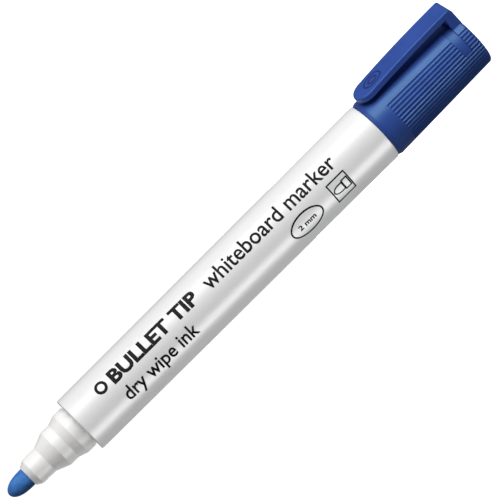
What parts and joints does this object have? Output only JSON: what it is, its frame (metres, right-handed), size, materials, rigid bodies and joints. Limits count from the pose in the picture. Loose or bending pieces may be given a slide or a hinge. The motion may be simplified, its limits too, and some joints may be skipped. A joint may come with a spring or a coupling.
{
  "type": "felt tip marker",
  "caption": "Round felt tip marker with a bullet nib in a stepped nose, a tapered printed barrel, and a ribbed cap with a pocket clip pushed onto the rear end.",
  "frame": {"origin": "centre of the cap's flat closed end, which the marker stands on", "axes": "+Z along the marker's axis from the cap's closed end to the nib, -Y out of the middle of the clip, +X to the right seen from the clip's side"},
  "size_m": [0.016, 0.0198, 0.151],
  "materials": {
    "barrel_plastic": "smooth satin white polypropylene",
    "nose_plastic": "natural, slightly translucent polypropylene",
    "nib_felt": "dense bonded felt stained with blue ink",
    "fibre": "soft fibre soaked in blue ink",
    "film": "thin clear film",
    "cap_plastic": "satin blue polypropylene",
    "plug_plastic": "satin blue polypropylene",
    "inner_cap_plastic": "soft blue polyethylene"
  },
  "bodies": {
    "body": {"barrel": "barrel_plastic", "nib_holder": "nose_plastic", "nib": "nib_felt", "ink_reservoir": "fibre", "reservoir_wrap": "film", "end_plug": "plug_plastic"},
    "cap": {"cap_shell": "cap_plastic", "inner_cap": "inner_cap_plastic"},
    "clip": {"pocket_clip": "cap_plastic"}
  },
  "joints": [
    {"name": "cap_pull", "type": "slide", "parent": "body", "child": "cap", "axis": [0, 0, -1], "range_m": [0, 0.015]},
    {"name": "clip_flex", "type": "hinge", "parent": "cap", "child": "clip", "pos_m": [0, -0.0058, 0], "axis": [1, 0, 0], "range_deg": [0, 5], "stiffness_Nm_per_rad": 0.57}
  ]
}
